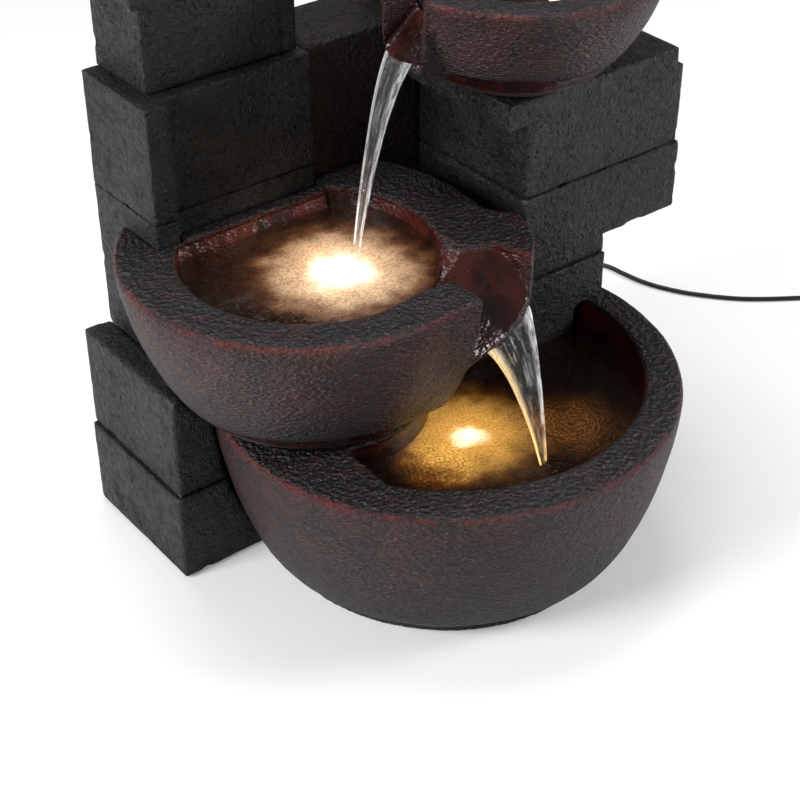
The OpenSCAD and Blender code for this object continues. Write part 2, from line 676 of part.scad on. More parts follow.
module plug_pins() color(steel) {
  for (x = [-6.35, 6.35]) block([adapter_c[0] + x - 0.75, adapter_c[0] + x + 0.75],
    [adapter_c[1] - 28 - 17, adapter_c[1] - 28], [14, 20.3]);
}

basin();
pump_screen();
mid_bowl();
upper_bowl();
left_base_block();
left_shelf_block();
left_wall_lower();
left_wall_upper();
left_top_block();
left_cap();
rear_base_block();
back_wall();
right_pillar_block();
right_neck_slab();
right_slab_lower();
right_slab_upper();
right_plinth();
right_top_block();
right_cap();
rear_door();
door_catches();
rubber_feet();
pump_housing();
stator_coil();
volute_cover();
cover_o_ring();
intake_strainer();
flow_dial();
impeller();
rotor_magnet();
impeller_shaft();
shaft_bushes();
pump_outlet();
suction_cups();
riser_tube();
tube_clips();
riser_grommet();
outlet_head();
lower_lamp_housing();
lower_lamp_lens();
lower_lamp_bracket();
mid_lamp_housing();
mid_lamp_lens();
upper_lamp_housing();
upper_lamp_lens();
lamp_gaskets();
pump_lead();
lower_lamp_lead();
mid_lamp_lead();
upper_lamp_lead();
cable_splice();
cable_gland();
strain_relief();
power_cord();
cord_coil();
cord_tie();
plug_adapter();
plug_pins();
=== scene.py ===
"""Looks of a tabletop water fountain with cast bowls and block towers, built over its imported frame."""

import json
import logging
import math
from dataclasses import dataclass, field
from enum import Enum
from typing import Callable, Sequence

import bmesh
import bpy
import numpy as np
from mathutils import Matrix, Vector, noise

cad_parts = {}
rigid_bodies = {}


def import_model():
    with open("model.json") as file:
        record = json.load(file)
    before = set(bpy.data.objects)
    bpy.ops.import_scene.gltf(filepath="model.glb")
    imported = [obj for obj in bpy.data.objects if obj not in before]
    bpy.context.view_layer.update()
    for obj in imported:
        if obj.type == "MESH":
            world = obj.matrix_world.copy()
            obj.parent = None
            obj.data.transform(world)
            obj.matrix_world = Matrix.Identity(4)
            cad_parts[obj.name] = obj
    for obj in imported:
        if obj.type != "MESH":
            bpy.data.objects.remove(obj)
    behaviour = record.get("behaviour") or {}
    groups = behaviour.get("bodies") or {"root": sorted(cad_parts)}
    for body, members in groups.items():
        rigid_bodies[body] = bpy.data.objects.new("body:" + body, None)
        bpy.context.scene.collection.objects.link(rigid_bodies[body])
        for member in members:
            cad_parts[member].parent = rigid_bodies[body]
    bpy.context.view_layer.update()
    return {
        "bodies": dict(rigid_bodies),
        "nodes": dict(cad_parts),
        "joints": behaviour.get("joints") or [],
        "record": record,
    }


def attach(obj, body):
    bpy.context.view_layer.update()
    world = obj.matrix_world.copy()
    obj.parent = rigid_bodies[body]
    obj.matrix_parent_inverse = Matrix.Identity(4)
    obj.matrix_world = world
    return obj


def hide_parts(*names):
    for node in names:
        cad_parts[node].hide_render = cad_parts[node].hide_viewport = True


MM = 0.001
LOG = logging.getLogger("fountain")
Colour = tuple[float, float, float]
Point = tuple[float, float, float]


class Body(Enum):
    """The bodies that pieces ride on."""

    FOUNTAIN = "fountain"
    ROTOR = "rotor"
    FLOW_DIAL = "flow_dial"
    REAR_DOOR = "rear_door"


# ---------------------------------------------------------------- finishes


class Bench:
    """Adds and joins the nodes of one material."""

    def __init__(self, name: str) -> None:
        """Starts an empty material of that name."""
        self.material = bpy.data.materials.new(name)
        self.material.use_nodes = True
        self.tree = self.material.node_tree
        self.tree.nodes.clear()
        self.output = self.tree.nodes.new("ShaderNodeOutputMaterial")
        self.place = self.tree.nodes.new("ShaderNodeTexCoord").outputs["Object"]

    def node(self, kind: str, values: dict | None = None, **settings) -> bpy.types.Node:
        """Adds a node.

        Args:
            kind: the node's type, without its ShaderNode start.
            values: what its input sockets hold or are joined to.
            settings: its own properties.

        Returns:
            The new node.
        """
        made = self.tree.nodes.new("ShaderNode" + kind)
        for key, value in settings.items():
            setattr(made, key, value)
        for key, value in (values or {}).items():
            self.feed(made.inputs[key], value)
        return made

    def feed(self, socket: bpy.types.NodeSocket, value) -> None:
        """Joins a socket to another, or gives it a constant."""
        if isinstance(value, bpy.types.NodeSocket):
            self.tree.links.new(value, socket)
        elif isinstance(value, tuple) and len(value) == 3 and socket.type == "RGBA":
            socket.default_value = (*value, 1.0)
        else:
            socket.default_value = value

    def sum(self, kind: str, a, b=0.0, clamp: bool = False) -> bpy.types.NodeSocket:
        """Arithmetic on one or two values, such as ADD or MULTIPLY."""
        return self.node("Math", {0: a, 1: b}, operation=kind, use_clamp=clamp).outputs[0]

    def grain(self, scale: float, detail: float = 3.0, rough: float = 0.55, place=None) -> bpy.types.NodeSocket:
        """Noise from 0 to 1, with scale in features per metre."""
        values = {"Vector": place or self.place, "Scale": scale, "Detail": detail, "Roughness": rough}
        return self.node("TexNoise", values).outputs[0]

    def cells(self, scale: float, feature: str = "F1", place=None) -> bpy.types.NodeSocket:
        """Distance to the nearest of many scattered points."""
        values = {"Vector": place or self.place, "Scale": scale}
        return self.node("TexVoronoi", values, feature=feature).outputs["Distance"]

    def steps(self, value, low: float, high: float, start: float = 0.0, end: float = 1.0) -> bpy.types.NodeSocket:
        """A smooth rise from start to end while value goes from low to high."""
        values = {"Value": value, 1: low, 2: high, 3: start, 4: end}
        return self.node("MapRange", values, interpolation_type="SMOOTHSTEP").outputs[0]

    def blend(self, share, a, b) -> bpy.types.NodeSocket:
        """A colour between two."""
        made = self.node("Mix", data_type="RGBA")
        self.feed(made.inputs["Factor"], share)
        self.feed(made.inputs[6], a)
        self.feed(made.inputs[7], b)
        return made.outputs[2]

    def relief(self, height, depth: float, under=None) -> bpy.types.NodeSocket:
        """A bumped normal, where depth is in metres."""
        values = {"Height": height, "Distance": depth, "Strength": 1.0}
        if under is not None:
            values["Normal"] = under
        return self.node("Bump", values).outputs[0]

    def kept(self, name: str) -> bpy.types.NodeSocket:
        """A value that the mesh carries at its points."""
        return self.node("Attribute", attribute_name=name).outputs["Fac"]

    def axis(self, name: str) -> bpy.types.NodeSocket:
        """One coordinate of the place: X, Y or Z."""
        return self.node("SeparateXYZ", {"Vector": self.place}).outputs[name]

    def finish(self, **values) -> bpy.types.Material:
        """Ends the material in a Principled shader and returns it."""
        names = {key: key.replace("_", " ") for key in values}
        shader = self.node("BsdfPrincipled", {names[k]: v for k, v in values.items()})
        self.tree.links.new(shader.outputs[0], self.output.inputs[0])
        return self.material


@dataclass(frozen=True)
class CastStone:
    """Pitted cast blocks in charcoal grey, with painted shade in the pits."""

    name: str
    dark: Colour
    light: Colour
    pit_scale: float = 260.0

    def material(self) -> bpy.types.Material:
        """Builds the finish."""
        b = Bench(self.name)
        cloud = b.grain(22.0, 4.0)
        fine = b.grain(900.0, 2.0)
        shade = b.sum("MULTIPLY", b.steps(cloud, 0.35, 0.68), b.steps(fine, 0.2, 0.8, 0.55, 1.0))
        colour = b.blend(shade, self.dark, self.light)
        patch = b.steps(b.grain(120.0, 2.0), 0.42, 0.6)
        drift = b.node("VectorMath", {0: b.node("TexNoise", {"Vector": b.place, "Scale": 300.0}).outputs[1], 1: (0.5, 0.5, 0.5)})
        drift.operation = "SUBTRACT"
        stretch = b.node("VectorMath", {0: drift.outputs[0], "Scale": 0.004}, operation="SCALE")
        place = b.node("VectorMath", {0: b.place, 1: stretch.outputs[0]}, operation="ADD").outputs[0]
        pits = b.sum("MULTIPLY", b.steps(b.cells(self.pit_scale, place=place), 0.36, 0.2), patch)
        specks = b.steps(b.cells(self.pit_scale * 2.2, place=place), 0.34, 0.16)
        holes = b.sum("MAXIMUM", pits, b.sum("MULTIPLY", specks, 0.6))
        # Near-black in the pits and specks: painted shade in the holes.
        colour = b.blend(b.sum("MULTIPLY", holes, 0.85), colour, (0.004, 0.004, 0.004))
        edge = b.node("NewGeometry").outputs["Pointiness"]
        worn = b.sum("MULTIPLY", b.steps(edge, 0.53, 0.58), b.steps(b.grain(90.0, 3.0), 0.5, 0.66))
        colour = b.blend(b.sum("MULTIPLY", worn, 0.5), colour, (0.2, 0.2, 0.2))
        rough = b.steps(b.grain(240.0, 3.0), 0.3, 0.7, 0.36, 0.62)
        height = b.sum("SUBTRACT", b.sum("MULTIPLY", fine, 0.5), holes)
        normal = b.relief(height, 0.0026, b.relief(b.grain(260.0, 3.0), 0.0026))
        return b.finish(Base_Color=colour, Roughness=rough, Normal=normal, Specular_IOR_Level=0.4)


@dataclass(frozen=True)
class HammeredGlaze:
    """Granular maroon that turns black towards the foot, redder at worn edges, smooth and wet where water runs."""

    name: str
    foot_z: float
    rim_z: float

    def material(self) -> bpy.types.Material:
        """Builds the finish."""
        b = Bench(self.name)
        z = b.axis("Z")
        turned = b.node("Mapping", {"Vector": b.place, "Rotation": (0.4, 0.5, 0.6), "Scale": (1.0, 1.0, 2.2)}).outputs[0]
        grit = b.grain(420.0, 2.5, 0.65, turned)
        beads = b.cells(360.0, "SMOOTH_F1", turned)
        cloud = b.grain(38.0, 4.0, 0.6)
        up = b.steps(z, self.foot_z, self.rim_z - 0.012)
        body = b.blend(b.steps(cloud, 0.34, 0.66), (0.006, 0.0025, 0.0025), (0.036, 0.0065, 0.006))
        # Darker towards the foot: near-black low down, maroon higher up.
        body = b.blend(up, (0.006, 0.005, 0.006), body)
        speck = b.sum("MULTIPLY", b.steps(grit, 0.54, 0.66), b.steps(up, 0.1, 0.8, 0.25, 1.0))
        body = b.blend(b.sum("MULTIPLY", speck, 0.6), body, (0.15, 0.05, 0.048))
        red = b.kept("edge")
        patchy = b.steps(b.grain(55.0, 4.0, 0.65), 0.36, 0.62)
        body = b.blend(b.sum("MULTIPLY", red, b.sum("MULTIPLY", patchy, 0.9)), body, (0.13, 0.009, 0.008))
        top = b.kept("top")
        rim = b.blend(b.steps(grit, 0.5, 0.75), (0.005, 0.004, 0.005), (0.06, 0.034, 0.038))
        rim = b.blend(b.sum("MULTIPLY", b.steps(b.grain(70.0, 4.0), 0.52, 0.7), 0.3), rim, (0.08, 0.01, 0.009))
        body = b.blend(top, body, rim)
        wet = b.kept("wet")
        inner = b.blend(b.steps(b.grain(45.0, 3.0), 0.36, 0.66), (0.01, 0.0035, 0.003), (0.055, 0.011, 0.008))
        body = b.blend(wet, body, inner)
        dry_rough = b.steps(grit, 0.35, 0.75, 0.55, 0.28)
        rough = b.node("Mix", {"Factor": wet, 2: dry_rough, 3: 0.16}).outputs[0]
        height = b.sum("ADD", b.sum("MULTIPLY", grit, 0.8), b.sum("MULTIPLY", beads, 0.7))
        height = b.sum("MULTIPLY", height, b.steps(wet, 0.0, 1.0, 1.0, 0.12))
        normal = b.relief(height, 0.0034, b.relief(b.grain(130.0, 3.0), 0.0012))
        return b.finish(Base_Color=body, Roughness=rough, Normal=normal, Specular_IOR_Level=0.5)


@dataclass(frozen=True)
class Moulded:
    """Plastic, rubber, metal or ceramic with a fine surface grain."""

    name: str
    colour: Colour
    rough: float
    metal: float = 0.0
    grain_scale: float = 1500.0
    depth: float = 0.00006
    spread: float = 0.25
    glow: Colour | None = None
    glow_power: float = 0.0
    clear: float = 0.0

    def material(self) -> bpy.types.Material:
        """Builds the finish."""
        b = Bench(self.name)
        fine = b.grain(self.grain_scale, 3.0)
        broad = b.grain(60.0, 3.0)
        darker = tuple(c * (1.0 - self.spread) for c in self.colour)
        colour = b.blend(b.steps(broad, 0.3, 0.7), darker, self.colour)
        rough = b.steps(fine, 0.3, 0.7, max(self.rough - 0.08, 0.02), min(self.rough + 0.08, 1.0))
        values = {"Base_Color": colour, "Roughness": rough, "Normal": b.relief(fine, self.depth)}
        values["Metallic"] = self.metal
        if self.clear:
            values["Transmission_Weight"] = self.clear
        if self.glow:
            values["Emission_Color"] = self.glow
            values["Emission_Strength"] = self.glow_power
        return b.finish(**values)


@dataclass(frozen=True)
class PoolWater:
    """A pool's surface with the lamp's light painted on it: a painted glow round the lamp that fades into dark, clear
    water, and painted glints on the ripples.
    """

    name: str
    glow_at: Point
    glow_radius: float
    core_radius: float
    core: Colour
    halo: Colour
    fringe: Colour
    power: float
    # Spots of painted glints: x, y, radius and brightness.
    glint_patches: tuple[tuple[float, float, float, float], ...] = ()

    def material(self) -> bpy.types.Material:
        """Builds the finish."""
        b = Bench(self.name)
        wobble = b.node("VectorMath", {0: b.node("TexNoise", {"Vector": b.place, "Scale": 70.0, "Detail": 3.0}).outputs[1],
                                       1: (0.5, 0.5, 0.5)}, operation="SUBTRACT").outputs[0]
        shifted = b.node("VectorMath", {0: wobble, "Scale": self.glow_radius * 0.35}, operation="SCALE").outputs[0]
        place = b.node("VectorMath", {0: b.place, 1: shifted}, operation="ADD").outputs[0]
        away = b.node("VectorMath", {0: place, 1: self.glow_at}, operation="DISTANCE").outputs["Value"]
        glow = b.steps(away, self.glow_radius, self.core_radius)
        core = b.steps(away, self.core_radius * 2.4, 0.0)
        ripple = b.grain(650.0, 2.0, 0.6)
        glint = b.steps(ripple, 0.36, 0.64, 0.25, 1.0)
        lit = b.sum("POWER", glow, 1.35)
        # Painted glints on the ripples, strongest in the painted glow.
        sparkle = b.sum("MULTIPLY", lit, b.steps(ripple, 0.3, 0.66, 0.62, 1.15))
        colour = b.blend(b.steps(glow, 0.1, 0.7), self.fringe, self.halo)
        colour = b.blend(core, colour, self.core)
        strength = b.sum("MULTIPLY", sparkle, self.power)
        strength = b.sum("ADD", strength, b.sum("MULTIPLY", core, self.power * 1.3))
        cover = b.steps(glow, 0.0, 0.5, 0.5, 0.97)
        # Painted glints in rings round each given spot.
        for x, y, radius, gain in self.glint_patches:
            near = b.node("VectorMath", {0: place, 1: (x, y, self.glow_at[2])}, operation="DISTANCE").outputs["Value"]
            spot = b.steps(near, radius, radius * 0.25)
            ring = b.sum("SINE", b.sum("MULTIPLY", near, 2.0 * math.pi / 0.0034))
            rings = b.sum("MULTIPLY", glint, b.steps(ring, -0.8, 0.8, 0.45, 1.1))
            strength = b.sum("ADD", strength, b.sum("MULTIPLY", b.sum("MULTIPLY", spot, rings), gain))
            cover = b.sum("MAXIMUM", cover, b.sum("MULTIPLY", spot, 0.8))
        normal = b.relief(ripple, 0.0007, b.relief(b.grain(130.0, 2.0), 0.0012))
        made = b.finish(Base_Color=(0.02, 0.009, 0.004), Roughness=0.07, Normal=normal, Alpha=cover,
                        Emission_Color=colour, Emission_Strength=strength, Specular_IOR_Level=0.6)
        return made


@dataclass(frozen=True)
class FallingWater:
    """A thin clear sheet with painted highlights: bright streaks along its fall, bright edges and a painted glow at
    its foot.
    """

    name: str
    # Colours of the painted highlights on the left and right edges.
    left: Colour
    right: Colour
    power: float

    def material(self) -> bpy.types.Material:
        """Builds the finish."""
        b = Bench(self.name)
        uv = b.tree.nodes.new("ShaderNodeUVMap")
        uv.uv_map = "flow"
        across = b.node("SeparateXYZ", {"Vector": uv.outputs[0]}).outputs["X"]
        down = b.node("SeparateXYZ", {"Vector": uv.outputs[0]}).outputs["Y"]
        place = b.node("Mapping", {"Vector": uv.outputs[0], "Scale": (14.0, 2.4, 1.0)}).outputs[0]
        # Painted highlights: faint streaks along the fall, a bright left edge and a bright right edge.
        highlight_threads = b.steps(b.grain(1.6, 5.0, 0.7, place), 0.53, 0.62)
        left_edge_highlight = b.sum("MULTIPLY", b.steps(across, 0.2, 0.04), b.steps(b.grain(3.0, 4.0, 0.6, place), 0.3, 0.55, 0.35, 1.0))
        right_edge_highlight = b.sum("MULTIPLY", b.steps(across, 0.68, 0.9), b.steps(b.grain(2.6, 3.0, 0.6, place), 0.4, 0.62))
        line = b.sum("MAXIMUM", b.sum("MAXIMUM", left_edge_highlight, right_edge_highlight), b.sum("MULTIPLY", highlight_threads, 0.45))
        # Painted glow at the foot, in the left edge's colour.
        foot = b.steps(down, 0.55, 1.0)
        colour = b.blend(b.steps(across, 0.15, 0.5), self.left, self.right)
        colour = b.blend(foot, colour, self.left)
        strength = b.sum("MULTIPLY", line, b.sum("ADD", b.sum("MULTIPLY", foot, 0.8), self.power))
        cover = b.sum("ADD", b.sum("MULTIPLY", line, 0.75), 0.07, clamp=True)
        normal = b.relief(b.grain(3.0, 3.0, 0.6, place), 0.0012)
        return b.finish(Base_Color=(0.32, 0.32, 0.33), Roughness=0.06, Normal=normal, Alpha=cover,
                        Emission_Color=colour, Emission_Strength=strength, Specular_IOR_Level=0.8)


# ---------------------------------------------------------------- mesh helpers


def new_piece(name: str, mesh: bpy.types.Mesh) -> bpy.types.Object:
    """Puts a mesh in the scene under that name."""
    made = bpy.data.objects.new(name, mesh)
    bpy.context.scene.collection.objects.link(made)
    return made


def dress(piece: bpy.types.Object, material: bpy.types.Material) -> None:
    """Gives a piece one material and smooth shading."""
    piece.data.materials.clear()
    piece.data.materials.append(material)
    if piece.type == "MESH":
        piece.data.shade_smooth()


def settle(piece: bpy.types.Object, body: Body, *nodes: str) -> None:
    """Rides a piece on its body and lets it stand for CAD nodes.

    Args:
        piece: the finished piece.
        body: the body it moves with.
        nodes: the CAD nodes that it replaces.
    """
    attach(piece, body.value)
    if nodes:
        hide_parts(*nodes)
    LOG.info("%s stands for %s", piece.name, ", ".join(nodes) or "no CAD node")


def store(mesh: bpy.types.Mesh, name: str, values: np.ndarray) -> None:
    """Keeps a value at each point of a mesh."""
    layer = mesh.attributes.new(name, "FLOAT", "POINT")
    layer.data.foreach_set("value", values.astype(np.float32))


def points_of(mesh: bpy.types.Mesh) -> np.ndarray:
    """A mesh's points as rows of three."""
    flat = np.empty(len(mesh.vertices) * 3, np.float32)
    mesh.vertices.foreach_get("co", flat)
    return flat.reshape(-1, 3).astype(np.float64)


def normals_of(mesh: bpy.types.Mesh) -> np.ndarray:
    """A mesh's point normals as rows of three."""
    flat = np.empty(len(mesh.vertices) * 3, np.float32)
    mesh.vertex_normals.foreach_get("vector", flat)
    return flat.reshape(-1, 3).astype(np.float64)


def swell(x: np.ndarray, low: float, high: float) -> np.ndarray:
    """A smooth rise from 0 to 1 while x goes from low to high."""
    t = np.clip((x - low) / (high - low), 0.0, 1.0)
    return t * t * (3.0 - 2.0 * t)


@dataclass
class CastSkin:
    """Turns a CAD node into a hand-cast skin: rounded edges and an uneven surface."""

    node: str
    voxel: float = 1.8 * MM
    rounding: int = 8
    hollow: float = 0.55 * MM
    chips: float = 0.0

    def build(self, frame: dict) -> bpy.types.Object:
        """Makes the skin.


        Returns:
            The new piece, with its place in its mesh.
        """
        raw = frame["nodes"][self.node].data.copy()
        work = bmesh.new()
        work.from_mesh(raw)
        bmesh.ops.remove_doubles(work, verts=work.verts, dist=1e-6)
        work.to_mesh(raw)
        work.free()
        raw.materials.clear()
        piece = new_piece("cast_" + self.node, raw)
        skin = piece.modifiers.new("skin", "REMESH")
        skin.mode = "VOXEL"
        skin.voxel_size = self.voxel
        soft = piece.modifiers.new("soft", "SMOOTH")
        soft.factor = 0.5
        soft.iterations = self.rounding
        ready = bpy.data.meshes.new_from_object(piece.evaluated_get(bpy.context.evaluated_depsgraph_get()))
        piece.modifiers.clear()
        piece.data = ready
        ready.name = piece.name
        self._weather(ready)
        return piece

    def _weather(self, mesh: bpy.types.Mesh) -> None:
        """Sinks the surface a little, unevenly, as castings come out."""
        place, out = points_of(mesh), normals_of(mesh)
        broad = np.array([noise.noise(p) for p in (place * 38.0).tolist()])
        fine = np.array([noise.noise(p) for p in (place * 150.0 + 7.0).tolist()])
        depth = self.hollow * (0.45 + 0.4 * broad + 0.25 * fine)
        if self.chips:
            nick = np.array([noise.noise(p) for p in (place * 75.0 + 3.0).tolist()])
            depth += self.chips * swell(nick, 0.25, 0.6)
        place -= out * np.maximum(depth, 0.0)[:, None]
        mesh.vertices.foreach_set("co", place.astype(np.float32).ravel())
        mesh.update()


# ---------------------------------------------------------------- the bowls


@dataclass
class Bowl:
    """One cast bowl and the places on it that are wet, worn or flat on top."""

    node: str
    centre: tuple[float, float]
    rim_r: float
    foot_z: float
    rim_z: float
    pool_at: tuple[float, float]
    pool_r: float
    water_z: float
    channel: tuple[float, float, float, float] | None = None

    def build(self, frame: dict) -> bpy.types.Object:
        """Makes the bowl's skin, marks it and dresses it."""
        piece = CastSkin(self.node, voxel=1.6 * MM, rounding=7, hollow=0.8 * MM).build(frame)
        self._mark(piece.data)
        dress(piece, HammeredGlaze(self.node + "_glaze", self.foot_z, self.rim_z).material())
        settle(piece, Body.FOUNTAIN, self.node)
        return piece

    def _mark(self, mesh: bpy.types.Mesh) -> None:
        """Stores where the bowl is wet, worn red and flat on top."""
        place, out = points_of(mesh), normals_of(mesh)
        x, y, z = place.T
        ring = np.hypot(x - self.centre[0], y - self.centre[1])
        pool = np.hypot(x - self.pool_at[0], y - self.pool_at[1])
        wet = (1.0 - swell(pool, self.pool_r - 1.0 * MM, self.pool_r + 3.0 * MM)) * (
            1.0 - swell(z, self.rim_z - 4.0 * MM, self.rim_z - 1.0 * MM))
        wet *= swell(z, self.foot_z + 6.0 * MM, self.foot_z + 12.0 * MM)
        if self.channel:
            x0, x1, y0, y1 = self.channel
            inside = swell(x, x0 - 1.0 * MM, x0 + 1.0 * MM) * (1.0 - swell(x, x1 - 1.0 * MM, x1 + 2.0 * MM))
            inside *= swell(y, y0 - 1.0 * MM, y0 + 1.0 * MM) * (1.0 - swell(y, y1 - 1.0 * MM, y1 + 1.0 * MM))
            inside *= 1.0 - swell(z, self.rim_z - 5.0 * MM, self.rim_z - 2.0 * MM)
            inside *= swell(out[:, 2], -0.35, 0.15)
            wet = np.maximum(wet, inside)
        flat = swell(out[:, 2], 0.75, 0.93) * swell(z, self.rim_z - 5.0 * MM, self.rim_z - 2.5 * MM)
        outer = swell(ring, self.rim_r - 8.0 * MM, self.rim_r - 4.0 * MM)
        near_top = swell(z, self.rim_z - 9.0 * MM, self.rim_z - 3.0 * MM)
        turn = 1.0 - np.abs(out[:, 2] - 0.55) / 0.5
        edge = np.clip(near_top * outer * (0.35 + 0.65 * np.clip(turn, 0.0, 1.0)), 0.0, 1.0)
        edge *= 1.0 - flat * 0.8
        store(mesh, "wet", wet)
        store(mesh, "top", flat * (1.0 - wet))
        store(mesh, "edge", edge * (1.0 - wet))


# ---------------------------------------------------------------- the towers


@dataclass
class Towers:
    """The cast blocks, slabs and caps, and the door in the right tower's back."""

    grey: Sequence[str] = (
        "left_base_block", "left_shelf_block", "left_wall_lower", "left_wall_upper", "left_top_block", "left_cap",
        "rear_base_block", "right_pillar_block", "right_neck_slab", "right_slab_lower", "right_slab_upper",
        "right_plinth", "right_top_block", "right_cap")
    # Pieces that get the painted-shade copy of the casting.
    dark: Sequence[str] = ("back_wall", "pump_screen")

    def build(self, frame: dict) -> None:
        """Makes every block's skin and dresses it."""
        stone = CastStone("charcoal_casting", (0.005, 0.0055, 0.006), (0.02, 0.021, 0.022)).material()
        # A darker, redder copy of the casting for the back wall, pump screen and rear door, which sit in shade:
        # painted shade.
        shadow = CastStone("wet_dark_casting", (0.006, 0.004, 0.004), (0.022, 0.011, 0.01)).material()
        for name in self.grey:
            piece = CastSkin(name, voxel=2.0 * MM, rounding=5, hollow=0.7 * MM, chips=0.9 * MM).build(frame)
            dress(piece, stone)
            settle(piece, Body.FOUNTAIN, name)
        for name in self.dark:
            size = 1.0 * MM if name == "pump_screen" else 2.2 * MM
            piece = CastSkin(name, voxel=size, rounding=2, hollow=0.3 * MM).build(frame)
            dress(piece, shadow)
            settle(piece, Body.FOUNTAIN, name)
        frame["nodes"]["rear_door"].data.materials.clear()
        frame["nodes"]["rear_door"].data.materials.append(shadow)


# ---------------------------------------------------------------- machinery


@dataclass
class Machinery:
    """Dresses the pump, tube, lamps, leads and small fittings, which keep their CAD shapes."""

    finishes: dict[str, Moulded] = field(default_factory=lambda: {
        "pump_black": Moulded("pump_case", (0.022, 0.022, 0.024), 0.42),
        "dial_red": Moulded("dial_moulding", (0.42, 0.05, 0.03), 0.4),
        "impeller_white": Moulded("rotor_moulding", (0.72, 0.72, 0.68), 0.38),
        "magnet": Moulded("ferrite", (0.06, 0.062, 0.068), 0.5, metal=0.4, grain_scale=3000.0),
        "coil_copper": Moulded("potted_winding", (0.42, 0.17, 0.07), 0.35, metal=0.7),
        "shaft_steel": Moulded("ground_shaft", (0.62, 0.63, 0.65), 0.22, metal=1.0),
        "bush_ceramic": Moulded("bush_ceramic_finish", (0.76, 0.73, 0.66), 0.3),
        "spring_steel": Moulded("spring_strip", (0.5, 0.51, 0.53), 0.3, metal=1.0),
        "rubber_black": Moulded("black_rubber", (0.018, 0.018, 0.018), 0.72, depth=0.0001),
        "tube_clear": Moulded("soft_clear_tube", (0.78, 0.82, 0.82), 0.18, clear=0.6),
        "cord_black": Moulded("cord_jacket", (0.013, 0.013, 0.014), 0.4),
        "adapter_black": Moulded("adapter_case", (0.02, 0.02, 0.022), 0.46, depth=0.0001),
        "pin_brass": Moulded("bright_blades", (0.8, 0.62, 0.3), 0.2, metal=1.0),
    })
    lens: Moulded = Moulded("lit_lens", (1.0, 0.9, 0.7), 0.12, glow=(1.0, 0.82, 0.5), glow_power=6.0)

    def dress_nodes(self, frame: dict) -> dict[str, bpy.types.Material]:
        """Gives each CAD node that stays its finish.


        Returns:
            The materials by record slot.
        """
        made = {slot: finish.material() for slot, finish in self.finishes.items()}
        made["lens_clear"] = self.lens.material()
        for part in frame["record"]["subparts"]:
            if part["material_slot"] in made:
                target = frame["nodes"][part["node"]]
                target.data.materials.clear()
                target.data.materials.append(made[part["material_slot"]])
        LOG.info("%d finishes on the machinery", len(made))
        return made


# ---------------------------------------------------------------- water


@dataclass
class Ripple:
    """Rings that spread from one place on a pool."""

    x: float
    y: float
    height: float
    pitch: float
    reach: float

    def lift(self, x: np.ndarray, y: np.ndarray) -> np.ndarray:
        """How far the rings lift the surface at each place."""
        d = np.hypot(x - self.x, y - self.y)
        return self.height * np.cos(2.0 * math.pi * d / self.pitch) * np.exp(-d / self.reach)


@dataclass
class Pool:
    """A pool's rippled surface, which runs a little into the bowl's wall all round."""

    name: str
    centre: tuple[float, float]
    radius: float
    level: float
    ripples: tuple[Ripple, ...]
    finish: PoolWater
    back_y: float = 1.0

    def build(self) -> bpy.types.Object:
        """Makes the surface."""
        work = bmesh.new()
        count = int(self.radius * 2.0 / (1.4 * MM))
        place = Matrix.Translation((*self.centre, self.level))
        bmesh.ops.create_grid(work, x_segments=count, y_segments=count, size=self.radius, matrix=place)
        far = [v for v in work.verts
               if math.hypot(v.co.x - self.centre[0], v.co.y - self.centre[1]) > self.radius or v.co.y > self.back_y]
        bmesh.ops.delete(work, geom=far, context="VERTS")
        mesh = bpy.data.meshes.new(self.name)
        work.to_mesh(mesh)
        work.free()
        spots = points_of(mesh)
        for ripple in self.ripples:
            spots[:, 2] += ripple.lift(spots[:, 0], spots[:, 1])
        spots[:, 2] += 0.22 * MM * np.array([noise.noise(p) for p in (spots * 160.0).tolist()])
        mesh.vertices.foreach_set("co", spots.astype(np.float32).ravel())
        mesh.update()
        piece = new_piece(self.name, mesh)
        dress(piece, self.finish.material())
        settle(piece, Body.FOUNTAIN)
        return piece


@dataclass
class Fall:
    """A stream: a sheet that leaves a lip and draws together as it falls."""

    name: str
    lip_left: Point
    lip_right: Point
    foot: Point
    foot_width: float
    bulge: float
    finish: FallingWater
    across: int = 28
    along: int = 70

    def build(self) -> bpy.types.Object:
        """Makes the sheet and gives it its thickness."""
        work = bmesh.new()
        flow = work.loops.layers.uv.new("flow")
        bmesh.ops.create_grid(work, x_segments=self.across, y_segments=self.along, size=0.5)
        left, right, foot = Vector(self.lip_left), Vector(self.lip_right), Vector(self.foot)
        side = (right - left).normalized()
        side.z = 0.0
        for face in work.faces:
            for loop in face.loops:
                loop[flow].uv = (loop.vert.co.x + 0.5, 0.5 - loop.vert.co.y)
        for vert in work.verts:
            u, v = vert.co.x + 0.5, 0.5 - vert.co.y
            start = left.lerp(right, u)
            end = foot + side * ((u - 0.5) * self.foot_width)
            spot = start.lerp(end, v ** 0.88)
            spot.z = start.z + (foot.z - start.z) * (0.55 * v + 0.45 * v * v)
            twist = math.sin(math.pi * u) * self.bulge * (1.0 - 0.6 * v)
            out = Vector((side.y, -side.x, 0.0)).normalized()
            wave = 0.7 * MM * noise.noise(Vector((u * 9.0, v * 2.2, len(self.name))))
            vert.co = spot + out * (twist + wave)
        mesh = bpy.data.meshes.new(self.name)
        work.to_mesh(mesh)
        work.free()
        piece = new_piece(self.name, mesh)
        depth = piece.modifiers.new("depth", "SOLIDIFY")
        depth.thickness = 1.0 * MM
        depth.offset = 0.0
        dress(piece, self.finish.material())
        settle(piece, Body.FOUNTAIN)
        return piece


